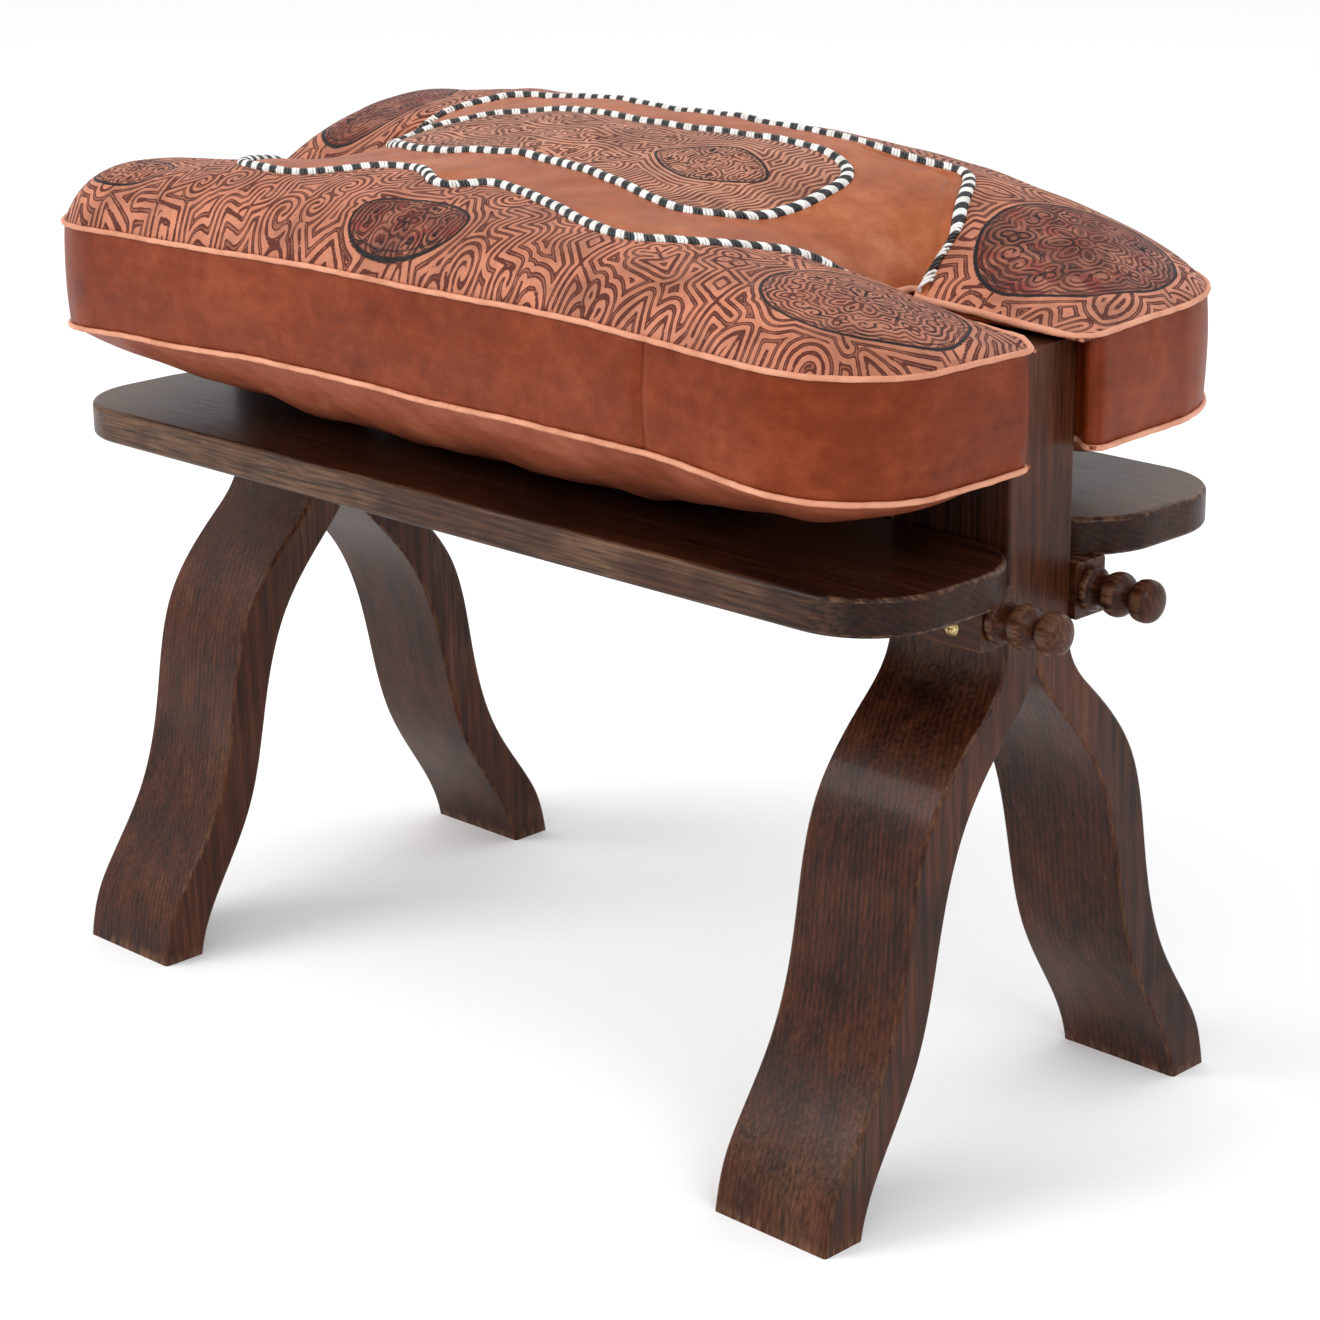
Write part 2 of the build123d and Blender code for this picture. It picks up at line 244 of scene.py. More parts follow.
def belly(x, y):
    """Height of the underside: rounded away below its seam, flat where the boards carry it."""
    run = 100 + 40 * held((np.abs(x - CUSHION_X) - 100) / 180)
    depth = depth_in_cushion(x, y)
    around = [(24, 0), (-24, 0), (0, 24), (0, -24), (17, 17), (-17, 17), (17, -17), (-17, -17)]
    soft = sum(depth_in_cushion(x + dx, y + dy) for dx, dy in around) / len(around)
    depth = depth + (soft - depth) * held(depth / 40)
    t = held(depth / run)
    return REST + (bottom_seam(x, y) - REST) * (1 - t) ** 2


def drawn_in(points):
    """The plan's finer shape: long sides pulled in, lobes closing past and over the posts."""
    points = np.array(points, float)
    x, y = points[:, 0], points[:, 1]
    side = held((np.abs(y) - 80) / 90)
    waist = np.cos(np.clip((x - CUSHION_X) / HALF_LENGTH, -1, 1) * pi / 2) ** 2
    post_end, _, post_top = (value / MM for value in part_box("leg_near_left")[1])
    mouth = held((np.abs(x) - post_end) / 14)
    over = held((points[:, 2] - post_top - 0.8) / 3.2) * held((np.abs(x) - SLOT_END) / 15)
    inner = held(1 - (np.abs(y) - SLOT_HALF) / 45)
    past = np.where(y > 0, 8.0, 0.0) * mouth * mouth * (3 - 2 * mouth)
    above = np.where(y > 0, 23.0 - 2.0 * mouth, 12.0 - 10.0 * mouth) * over * over * (3 - 2 * over)
    points[:, 1] -= np.sign(y) * (4.5 * side * waist + np.maximum(past, above) * inner)
    points[:, 0] -= held((x - 240) / 98) ** 2 * np.where(y > 0, 8.0 * held(y / 100), 3.0)
    return points


# ---- meshes
def linked(name, data):
    """A new object in the scene."""
    piece = bpy.data.objects.new(name, data)
    bpy.context.scene.collection.objects.link(piece)
    return piece


def add_object(name, points_mm, faces):
    """A smooth mesh object from millimetre points."""
    mesh = bpy.data.meshes.new(name)
    mesh.from_pydata((np.asarray(points_mm) * MM).tolist(), [], np.asarray(faces).tolist())
    mesh.validate()
    mesh.update()
    mesh.shade_smooth()
    return linked(name, mesh)


def add_values(piece, values_by_name):
    """Numbers at each point of a piece, for its material."""
    for name, values in values_by_name.items():
        layer = piece.data.attributes.new(name, "FLOAT", "POINT")
        layer.data.foreach_set("value", np.asarray(values, np.float32))


def thicken(piece, thickness_mm):
    """A sheet gets its leather's thickness, inwards."""
    solid = piece.modifiers.new("hide", "SOLIDIFY")
    solid.thickness = thickness_mm * MM
    solid.offset = -1
    solid.use_even_offset = False


class Plan:
    """A square grid over the cushion's plan, with distances to the outlines, in mm."""

    def __init__(self, step):
        self.step = step
        xs = np.arange(CUSHION_X - HALF_LENGTH - 2 * step, CUSHION_X + HALF_LENGTH + 3 * step, step)
        ys = np.arange(-HALF_WIDTH - 2 * step, HALF_WIDTH + 3 * step, step)
        self.y, self.x = np.meshgrid(ys, xs, indexing="ij")
        self.cushion = depth_in_cushion(self.x, self.y)
        self.saddle = depth_in_line(self.x, self.y, saddle_line())
        self.medallion = depth_in_line(self.x, self.y, medallion_line())

    def panel(self, depth):
        """Grid points and squares of the part where depth is positive, its edge drawn to the line."""
        inside = depth > 0
        cells = inside[:-1, :-1] | inside[1:, :-1] | inside[:-1, 1:] | inside[1:, 1:]
        used = np.zeros(inside.shape, bool)
        for rows in (slice(None, -1), slice(1, None)):
            for columns in (slice(None, -1), slice(1, None)):
                used[rows, columns] |= cells
        slope_y, slope_x = np.gradient(depth, self.step)
        pull = np.where(inside, 0, -depth) / np.maximum(slope_x**2 + slope_y**2, 0.25)
        x = self.x + pull * slope_x
        y = self.y + pull * slope_y
        number = np.cumsum(used).reshape(used.shape) - 1
        rows, columns = np.nonzero(cells)
        faces = np.column_stack([
            number[rows, columns], number[rows, columns + 1],
            number[rows + 1, columns + 1], number[rows + 1, columns],
        ])
        return x[used], y[used], faces


def strip(columns):
    """Squares of a sheet whose points are given as columns of equal length."""
    across, up = columns.shape[:2]
    index = np.arange(across * up).reshape(across, up)
    a, b, c, d = index[:-1, :-1], index[1:, :-1], index[1:, 1:], index[:-1, 1:]
    return np.stack([a, b, c, d], axis=-1).reshape(-1, 4)


def tube(line, radius, sides):
    """Points and faces of a round tube along a closed 3-D line, its thickness slightly uneven."""
    run = unit(np.roll(line, -1, axis=0) - np.roll(line, 1, axis=0))
    side = unit(np.cross(run, (0, 0, 1.0)))
    up = np.cross(side, run)
    angles = np.linspace(0, 2 * pi, sides, endpoint=False)[None, :, None]
    count = len(line)
    uneven = 1 + 0.06 * np.sin(np.arange(count) * 0.9) * np.sin(np.arange(count) * 0.23)
    spokes = side[:, None] * np.cos(angles) + up[:, None] * np.sin(angles)
    rings = line[:, None] + (radius * uneven)[:, None, None] * spokes
    ring = np.arange(count)[:, None] * sides
    after = np.roll(ring, -1, axis=0)
    k = np.arange(sides)
    n = (k + 1) % sides
    faces = np.stack([ring + k, after + k, after + n, ring + n], axis=-1)
    return rings.reshape(-1, 3), faces.reshape(-1, 4)


# ---- the stuffed form
def form_points():
    """Loose surface points and faces of the whole cushion, to be closed by a remesh."""
    plan = Plan(6.0)
    x, y, faces = plan.panel(plan.cushion)
    depth = np.maximum(depth_in_cushion(x, y), 0)
    top = np.column_stack([x, y, crown(x, y) - 6 * (1 - np.exp(-depth / 20))])
    bottom = np.column_stack([x, y, belly(x, y)])
    line = cushion_line(6.0)
    low, high = bottom_seam(*line.T), top_seam(*line.T)
    columns = np.stack([
        np.column_stack([line, low + (high - low) * level]) for level in np.linspace(0, 1, 11)
    ], axis=1)
    columns = np.concatenate([columns, columns[:1]])
    band_faces = strip(columns)
    points = np.vstack([top, bottom, columns.reshape(-1, 3)])
    faces = np.vstack([faces, faces[:, ::-1] + len(top), band_faces + 2 * len(top)])
    return points, faces


def remeshed(points, faces, size):
    piece = add_object("form", points, faces)
    grid = piece.modifiers.new("grid", "REMESH")
    grid.mode = "VOXEL"
    grid.voxel_size = size * MM
    depsgraph = bpy.context.evaluated_depsgraph_get()
    closed = bpy.data.meshes.new_from_object(piece.evaluated_get(depsgraph))
    bpy.data.objects.remove(piece)
    return closed


def coordinates(mesh):
    flat = np.empty(len(mesh.vertices) * 3, np.float32)
    mesh.vertices.foreach_get("co", flat)
    return flat.reshape(-1, 3).astype(float) / MM


def move_points(mesh, points_mm):
    mesh.vertices.foreach_set("co", (points_mm * MM).ravel().astype(np.float32))
    mesh.update()


def blow_up(mesh, cap):
    """Swell a closed form by cloth pressure between its sewn and resting places."""
    start = coordinates(mesh)
    x, y, z = start.T
    edge = depth_in_cushion(x, y)
    off_seam = np.minimum(np.abs(z - top_seam(x, y)), np.abs(z - bottom_seam(x, y)))
    sewn = (edge < 7) & (off_seam < 5)
    resting = z < REST + 4
    in_slot = depth_from_slots(x, y) < 7
    fixed = np.nonzero(sewn | resting | in_slot)[0]
    pad = linked("pad", mesh)
    group = pad.vertex_groups.new(name="held")
    group.add(fixed.tolist(), 1.0, "REPLACE")
    settings = pad.modifiers.new("cloth", "CLOTH").settings
    leather = {
        "quality": 5, "mass": 0.4, "vertex_group_mass": "held",
        "tension_stiffness": 12, "compression_stiffness": 12, "bending_stiffness": 2,
        "use_pressure": True, "uniform_pressure_force": 4,
    }
    for key, value in leather.items():
        setattr(settings, key, value)
    settings.effector_weights.gravity = 0
    for number in range(1, 21):
        bpy.context.scene.frame_set(number)
    depsgraph = bpy.context.evaluated_depsgraph_get()
    swollen = bpy.data.meshes.new_from_object(pad.evaluated_get(depsgraph))
    moved = coordinates(swollen) - start
    reach = np.linalg.norm(moved, axis=1)
    moved *= (np.minimum(reach, cap) / np.maximum(reach, 1e-6))[:, None]
    bpy.data.objects.remove(pad)
    bpy.data.meshes.remove(swollen)
    bpy.context.scene.frame_set(1)
    return start, moved


def spread(points, start, moved, reach):
    """The form's movement at other points, as a smooth weighted mean of its own."""
    result = np.zeros((len(points), 3))
    for first in range(0, len(points), 400):
        part = points[first:first + 400]
        gap = ((part[:, None, :] - start[None, :, :]) ** 2).sum(axis=2)
        weight = np.exp(-gap / (2 * reach * reach))
        result[first:first + 400] = weight @ moved / np.maximum(weight.sum(axis=1), 1e-9)[:, None]
    return result


def crown_swell(start, moved):
    """How far the simulated top rises at each point of a coarse grid."""
    surface = start[:, 2] > top_seam(*start[:, :2].T) + 1
    coarse = Plan(10.0)
    points = np.column_stack([coarse.x.ravel(), coarse.y.ravel(), crown(coarse.x, coarse.y).ravel() - 6])
    rise = spread(points, start[surface], moved[surface], 9.0)[:, 2].reshape(coarse.x.shape)
    return coarse, rise


def sampled(coarse, values, x, y):
    """Bilinear look-up in a coarse plan grid."""
    column = (x - coarse.x[0, 0]) / coarse.step
    row = (y - coarse.y[0, 0]) / coarse.step
    c0 = np.clip(column.astype(int), 0, values.shape[1] - 2)
    r0 = np.clip(row.astype(int), 0, values.shape[0] - 2)
    u, v = column - c0, row - r0
    low = values[r0, c0] * (1 - u) + values[r0, c0 + 1] * u
    high = values[r0 + 1, c0] * (1 - u) + values[r0 + 1, c0 + 1] * u
    return low * (1 - v) + high * v


class Stuffing:
    """The simulated form, asked for the top's height and the band's bulge."""

    def __init__(self):
        self.mesh = remeshed(*form_points(), 6.0)
        self.start, self.moved = blow_up(self.mesh, 10.0)
        self.coarse, self.rise = crown_swell(self.start, self.moved)

    def top(self, x, y):
        depth = np.maximum(depth_in_cushion(x, y), 0)
        ease = 1 - np.exp(-depth / 20)
        rise = sampled(self.coarse, self.rise, x, y) * (1 - np.exp(-depth / 12))
        dents = 0.9 * waves(x, y, 90, 3) + 0.35 * waves(x, y, 38, 4)
        return crown(x, y) - 6 * ease + rise + dents * ease

    def filling(self):
        """The padded body inside the leather: the swollen form drawn in by the cover."""
        points = self.start + self.moved * 0.9
        mesh = self.mesh
        move_points(mesh, points)
        normals = np.empty(len(points) * 3, np.float32)
        mesh.vertices.foreach_get("normal", normals)
        points -= normals.reshape(-1, 3) * 5.0
        move_points(mesh, points)
        mesh.shade_smooth()
        return linked("stuffed_body", mesh)


# ---- tooled pattern, mm
def placed(line, x, y, angle, size=1.0):
    c, s = cos(angle) * size, sin(angle) * size
    line = np.asarray(line, float)
    return np.column_stack([x + line[:, 0] * c - line[:, 1] * s, y + line[:, 0] * s + line[:, 1] * c])


def volute():
    """Two scrolls rolled from the ends of one stem."""
    t = np.linspace(0.3, 2.15 * pi, 60)
    roll = np.column_stack([(1.2 + 1.15 * t) * np.cos(t), (1.2 + 1.15 * t) * np.sin(t)])
    return [roll + (-9, 0), -roll + (9, 0)]


def leaf():
    t = np.linspace(0, 1, 24)[:, None]
    upper = np.hstack([24 * t - 12, 6.5 * np.sin(pi * t) ** 0.8])
    lower = upper * (1, -1)
    return [upper, lower, [(-12, 0), (-4, 0.8), (4, -0.8), (12, 0)]]


def lozenge():
    outer = np.array([(-15, 0), (0, -9), (15, 0), (0, 9), (-15, 0)])
    cross = np.array([(-26, -9), (-15, 0), (-26, 9)])
    return [outer, cross, -cross, outer * 0.42]


def arrow():
    head = [(-8, -9), (10, 0), (-8, 9), (-3, 0), (-8, -9)]
    return [head, [(-3, 0), (-18, 0)], [(-16, -7), (-10, 0), (-16, 7)]]


def sprig():
    """Three rounded petals on a stalk."""
    t = np.linspace(0, 2 * pi, 26)
    petal = np.column_stack([6 + 5 * np.cos(t), 3.6 * np.sin(t)])
    petals = [placed(petal, 0, 0, angle) for angle in (-1.3, 0, 1.3)]
    return petals + [[(0, 0), (-9, 1.5), (-18, -1)]]


def ribbon_wave():
    x = np.linspace(-22, 22, 40)
    return [np.column_stack([x, 6 * np.sin(x * 0.2)])]


def zigzag():
    return [[(-22, -5), (-12, 6), (-4, -6), (5, 6), (13, -6), (22, 5)]]


def scatter_motifs(seed):
    """Motifs laid over the plan on a loose staggered grid, each turned its own way."""
    rng = np.random.RandomState(seed)
    makers = (volute, leaf, lozenge, arrow, sprig, ribbon_wave, zigzag, volute)
    lines = []
    for row, y in enumerate(np.arange(-HALF_WIDTH, HALF_WIDTH + 1, 33)):
        for x in np.arange(-HALF_LENGTH - 10 + (row % 2) * 25, HALF_LENGTH + 20, 50):
            maker = makers[rng.randint(len(makers))]
            place = (x + CUSHION_X + rng.uniform(-5, 5), y + rng.uniform(-4, 4))
            angle = rng.uniform(0, 2 * pi)
            size = rng.uniform(1.1, 1.4)
            lines += [placed(line, *place, angle, size) for line in maker()]
    return lines


def rosette(count, radius):
    t = np.linspace(0, 2 * pi, 20)
    petal = np.column_stack([0.62 * radius + 0.36 * radius * np.cos(t), 0.2 * radius * np.sin(t)])
    return [placed(petal, 0, 0, 2 * pi * k / count) for k in range(count)]


def oval(half_x, half_y, power=2.0, count=72):
    t = np.linspace(0, 2 * pi, count, endpoint=False)
    c, s = np.cos(t), np.sin(t)
    return np.column_stack([
        half_x * np.sign(c) * np.abs(c) ** (2 / power), half_y * np.sign(s) * np.abs(s) ** (2 / power),
    ])


# Cartouches: place, turn in degrees, half sizes, squareness, petals inside, depth of dye.
CARTOUCHES = [
    (275, 90, 48, 52, 48, 2.1, 8, 0.85),
    (281, -96, 35, 52, 44, 2.0, 10, 0.2),
    (-284, 90, -48, 50, 40, 2.0, 8, 0.9),
    (-264, -136, 0, 32, 17, 2.0, 6, 0.15),
    (-5, -148, 3, 42, 18, 2.3, 6, 0.85),
    (-12, 143, -4, 40, 18, 1.8, 6, 0.85),
    (84, 0, 0, 41, 22, 1.5, 6, 0.12),
]


def cartouche_lines(cartouche):
    """The border of a cartouche, and the flower and ring of small scrolls inside it."""
    x, y, turn, half_x, half_y, power, petals, _ = cartouche
    angle = radians(turn)
    border = placed(oval(half_x, half_y, power), x, y, angle)
    inner = [placed(line, x, y, angle, 1.0) for line in rosette(petals, half_y * 0.45)]
    count = petals + 2
    for k in range(count):
        t = 2 * pi * (k + 0.5) / count
        out_x, out_y = half_x * 0.7 * cos(t), half_y * 0.7 * sin(t)
        centre = placed([(out_x, out_y)], x, y, angle)[0]
        small = half_y / 34
        maker = volute if k % 2 else sprig
        inner += [placed(line, *centre, angle + t + pi / 2, 0.45 * small) for line in maker()]
    return border, inner


def nearest(lines, points):
    """Distance in plan from each point to the nearest of the lines."""
    samples = np.vstack([resample(line, 0.7) for line in lines])
    tree = KDTree(len(samples))
    for index, (x, y) in enumerate(samples):
        tree.insert((x, y, 0), index)
    tree.balance()
    return np.array([tree.find((x, y, 0))[2] for x, y in points])


def tooling(x, y, lines):
    """What the tooled material asks of each point: distance to the cut lines, depth inside the
    nearest cartouche, and how darkly that one is dyed."""
    points = np.column_stack([x, y])
    depth = np.full(len(x), -60.0)
    shade = np.zeros(len(x))
    distance = nearest(lines, points)
    for cartouche in CARTOUCHES:
        border, inner = cartouche_lines(cartouche)
        close = np.hypot(x - cartouche[0], y - cartouche[1]) < cartouche[3] * 1.5
        if not close.any():
            continue
        here = np.full(len(x), -60.0)
        here[close] = depth_in_line(x[close], y[close], border)
        depth = np.maximum(depth, here)
        inside = here > 0
        if inside.any():
            distance[inside] = nearest(inner, points[inside])
        shade[close] = cartouche[7]
    beside = (depth > -14) & (depth < 0)
    distance[beside] = np.minimum(distance[beside], -depth[beside])
    return {"cut_distance": distance, "cartouche_depth": depth, "cartouche_shade": shade}


# ---- materials
class Look:
    """A procedural material in the making: one Principled shader fed by a few texture nodes."""

    def __init__(self, name, roughness=0.5, specular=0.5, coat=0.0, coat_roughness=0.25, sheen=0.0):
        self.material = bpy.data.materials.new(name)
        self.material.use_nodes = True
        self.tree = self.material.node_tree
        self.shader = self.tree.nodes["Principled BSDF"]
        uniform = {"Roughness": roughness, "Specular IOR Level": specular, "Coat Weight": coat,
                   "Coat Roughness": coat_roughness, "Sheen Weight": sheen}
        for key, value in uniform.items():
            self.shader.inputs[key].default_value = value
        self.place = self.put("ShaderNodeTexCoord").outputs["Object"]

    def put(self, kind, inputs=(), **settings):
        node = self.tree.nodes.new(kind)
        for key, value in settings.items():
            setattr(node, key, value)
        for key, value in dict(inputs).items():
            if isinstance(value, bpy.types.NodeSocket):
                self.tree.links.new(value, node.inputs[key])
            else:
                node.inputs[key].default_value = value
        return node

    def math(self, operation, a, b=0.0, c=0.0):
        return self.put("ShaderNodeMath", {0: a, 1: b, 2: c}, operation=operation).outputs[0]

    def times(self, first, *others):
        for other in others:
            first = self.math("MULTIPLY", first, other)
        return first

    def scaled(self, value, by, plus):
        return self.math("MULTIPLY_ADD", value, by, plus)

    def most(self, a, b):
        return self.math("MAXIMUM", a, b)

    def less(self, a, b):
        return self.math("SUBTRACT", a, b)

    def size(self, value):
        return self.math("ABSOLUTE", value)

    def noise(self, scale, detail=3.0, rough=0.55, distortion=0.0, place=None):
        inputs = {"Vector": place or self.place, "Scale": scale, "Detail": detail,
                  "Roughness": rough, "Distortion": distortion}
        return self.put("ShaderNodeTexNoise", inputs).outputs["Fac"]

    def cells(self, scale, feature="F1", place=None, random=1.0):
        inputs = {"Vector": place or self.place, "Scale": scale, "Randomness": random}
        return self.put("ShaderNodeTexVoronoi", inputs, feature=feature).outputs["Distance"]

    def moved(self, scale=(1, 1, 1), location=(0, 0, 0), turn=(0, 0, 0)):
        inputs = {"Vector": self.place, "Scale": scale, "Location": location, "Rotation": turn}
        return self.put("ShaderNodeMapping", inputs).outputs[0]

    def step(self, value, low, high, to_low=0.0, to_high=1.0):
        """A smooth change from to_low to to_high as a value goes from low to high."""
        inputs = {"Value": value, "From Min": low, "From Max": high, "To Min": to_low, "To Max": to_high}
        return self.put("ShaderNodeMapRange", inputs, interpolation_type="SMOOTHSTEP").outputs[0]

    def ramp(self, value, stops):
        node = self.put("ShaderNodeValToRGB", {0: value})
        elements = node.color_ramp.elements
        while len(elements) < len(stops):
            elements.new(0.5)
        for element, (position, colour) in zip(elements, stops):
            element.position = position
            element.color = (*colour, 1)
        return node.outputs[0]

    def mix(self, factor, a, b, blend="MIX"):
        node = self.put("ShaderNodeMix", data_type="RGBA", blend_type=blend)
        for index, value in ((0, factor), (6, a), (7, b)):
            if isinstance(value, bpy.types.NodeSocket):
                self.tree.links.new(value, node.inputs[index])
            else:
                node.inputs[index].default_value = (*value, 1) if isinstance(value, tuple) else value
        return node.outputs[2]

    def lay(self, base, mask, amount, colour):
        """A colour laid over a base, by a mask times an amount."""
        return self.mix(self.times(mask, amount), base, colour)

    def value(self, name):
        return self.put("ShaderNodeAttribute", attribute_name=name).outputs["Fac"]

    def parts(self, vector):
        return self.put("ShaderNodeSeparateXYZ", {0: vector}).outputs

    def axes(self):
        return self.parts(self.place)

    def colour(self, socket):
        self.tree.links.new(socket, self.shader.inputs["Base Color"])

    def roughness(self, socket):
        self.tree.links.new(socket, self.shader.inputs["Roughness"])

    def relief(self, layers):
        """Bump layers, each a height, its distance in mm and its strength."""
        normal = None
        for height, distance, strength in layers:
            inputs = {"Height": height, "Distance": distance * MM, "Strength": strength}
            if normal:
                inputs["Normal"] = normal
            normal = self.put("ShaderNodeBump", inputs).outputs[0]
        self.tree.links.new(normal, self.shader.inputs["Normal"])


def leather_relief(look, grain=0.35):
    pores = look.cells(820.0, "DISTANCE_TO_EDGE")
    pores = look.step(pores, 0.0, 0.25)
    creases = look.noise(300.0, 5.0, 0.65, 0.6)
    soft = look.noise(45.0, 2.0)
    return [(soft, 1.6, 0.25), (creases, 0.35, 0.5), (pores, 0.18, grain)]


def smooth_leather(name, dark, middle, light, roughness, seed):
    """Dyed saddle leather: clouded colour, rubbed lighter in places, fine grain and scuffs."""
    look = Look(name, roughness, 0.13, coat_roughness=0.32)
    shifted = look.moved(location=(seed, seed * 0.7, 0))
    clouds = look.noise(16.0, 4.0, 0.6, 0.5, shifted)
    blotches = look.noise(75.0, 5.0, 0.7, 0.2, shifted)
    streaks = look.noise(30.0, 4.0, 0.6, 0.0, look.moved(scale=(1, 1, 4.5), location=(seed, 0, seed)))
    tone = look.scaled(blotches, 0.35, look.times(clouds, 0.45))
    tone = look.scaled(streaks, 0.2, tone)
    base = look.ramp(tone, [(0.36, dark), (0.5, middle), (0.64, light)])
    scuffs = look.step(look.noise(60.0, 8.0, 0.75, 1.5), 0.66, 0.76)
    specks = look.step(look.cells(95.0), 0.07, 0.03)
    base = look.lay(base, scuffs, 0.35, tuple(min(1, c * 1.5) for c in light))
    base = look.lay(base, specks, 0.45, tuple(c * 0.45 for c in dark))
    look.colour(base)
    look.roughness(look.scaled(blotches, 0.25, roughness - 0.1))
    look.relief(leather_relief(look))
    return look.material


def tooled_leather(name, pitch, pale, deep):
    """Tooled and antiqued leather: paired cut lines echo round the motifs and leave pale ribbons
    between them; dark dye lies in the cuts, and red-brown and black dye in the cartouches."""
    look = Look(name, 0.5, 0.14)
    distance = look.value("cut_distance")
    depth = look.value("cartouche_depth")
    shade = look.value("cartouche_shade")
    black = (0.008, 0.006, 0.007)
    wander = look.scaled(look.noise(120.0, 3.0), 1.2, -0.6)
    inside = look.step(depth, -0.2, 0.2)
    spacing = look.step(inside, 0.0, 1.0, pitch, pitch * 0.74)
    phase = look.math("DIVIDE", look.math("ADD", distance, wander), spacing)
    offset = look.math("PINGPONG", phase, 0.5)
    weight = look.step(look.noise(90.0, 2.0), 0.35, 0.65, 0.055, 0.105)
    off_cut = look.size(look.less(offset, 0.145))
    cut = look.step(off_cut, look.math("ADD", weight, 0.03), look.less(weight, 0.03))
    ridge = look.step(offset, 0.12, 0.04)
    fine = look.step(look.noise(420.0, 2.0, 0.6, 0.8), 0.58, 0.68)
    rim = look.step(look.size(depth), 1.05, 0.5)
    inner_rim = look.step(look.size(look.less(depth, 2.7)), 0.6, 0.25)
    rubbed = look.step(look.noise(18.0, 3.0), 0.44, 0.62)
    dyed = look.step(look.noise(45.0, 3.0), 0.34, 0.56, 0.35, 0.92)
    red = look.step(look.noise(75.0, 1.0), 0.56, 0.62)
    blackened = look.step(look.noise(60.0, 1.0), 0.45, 0.55)
    shadow, glow = tuple(c * 0.72 for c in pale), tuple(c * 1.22 for c in pale)
    colour = look.ramp(look.noise(30.0, 4.0, 0.6, 0.4), [(0.32, shadow), (0.5, pale), (0.68, glow)])
    colour = look.lay(colour, rubbed, 0.30, tuple(c * 0.42 for c in pale))
    colour = look.lay(colour, ridge, 0.62, (0.135, 0.030, 0.017))
    colour = look.mix(look.times(inside, shade, dyed), colour, (0.115, 0.026, 0.016))
    colour = look.lay(colour, look.times(inside, shade, red), 0.7, (0.20, 0.018, 0.014))
    colour = look.lay(colour, fine, look.step(inside, 0, 1, 0.16, 0.45), (0.09, 0.022, 0.014))
    colour = look.lay(colour, cut, 0.94, deep)
    colour = look.lay(colour, look.times(cut, inside, blackened), 0.85, black)
    colour = look.lay(colour, inner_rim, 0.8, (0.02, 0.008, 0.007))
    look.colour(look.mix(rim, colour, black))
    look.roughness(look.step(cut, 0.0, 1.0, 0.46, 0.66))
    surface = look.scaled(ridge, -0.25, look.less(1.0, look.most(cut, rim)))
    look.relief([(surface, 0.8, 0.8)] + leather_relief(look, 0.25))
    return look.material


def lace(name, dark, light, roughness, specular):
    """Whip-stitched lacing: each strand slightly ribbed along its length."""
    look = Look(name, roughness, specular)
    tone = look.noise(160.0, 3.0, 0.6)
    look.colour(look.ramp(tone, [(0.35, dark), (0.65, light)]))
    fibres = look.noise(1300.0, 3.0, 0.7)
    look.roughness(look.scaled(fibres, 0.2, roughness - 0.1))
    look.relief([(fibres, 0.25, 0.5)])
    return look.material


def wadding(name):
    look = Look(name, 0.95, 0.1, sheen=0.4)
    tufts = look.noise(130.0, 8.0, 0.75, 1.2)
    look.colour(look.ramp(tufts, [(0.3, (0.45, 0.42, 0.36)), (0.7, (0.8, 0.77, 0.7))]))
    look.relief([(tufts, 3.0, 0.8)])
    return look.material


def wood_tone(look, stretch, across, seed):
    """Fine fibres and growth rings of stained wood; across is the direction the rings stack in."""
    along = look.moved(scale=stretch, location=(seed, seed * 1.7, seed * 0.3))
    drift = look.noise(10.0, 2.0, 0.5, 0.0, along)
    dot = look.put("ShaderNodeVectorMath", {0: look.place, 1: across}, operation="DOT_PRODUCT")
    stacked = dot.outputs["Value"]
    turns = look.scaled(stacked, 1700.0, look.scaled(drift, 60.0, seed * 5))
    rings = look.scaled(look.math("SINE", turns), 0.5, 0.5)
    rings = look.times(rings, look.noise(30.0, 2.0, 0.5, 0.0, along))
    fibres = look.noise(520.0, 5.0, 0.7, 0.1, along)
    streaks = look.noise(85.0, 4.0, 0.65, 0.0, along)
    pores = look.step(look.noise(900.0, 3.0, 0.6, 0.0, along), 0.60, 0.72)
    tone = look.scaled(fibres, 0.46, look.times(rings, 0.13))
    tone = look.scaled(streaks, 0.38, tone)
    patches = look.noise(8.0, 3.0, 0.6, 0.4, look.moved(location=(seed, 0, 0)))
    return look.scaled(patches, 0.42, tone), fibres, pores


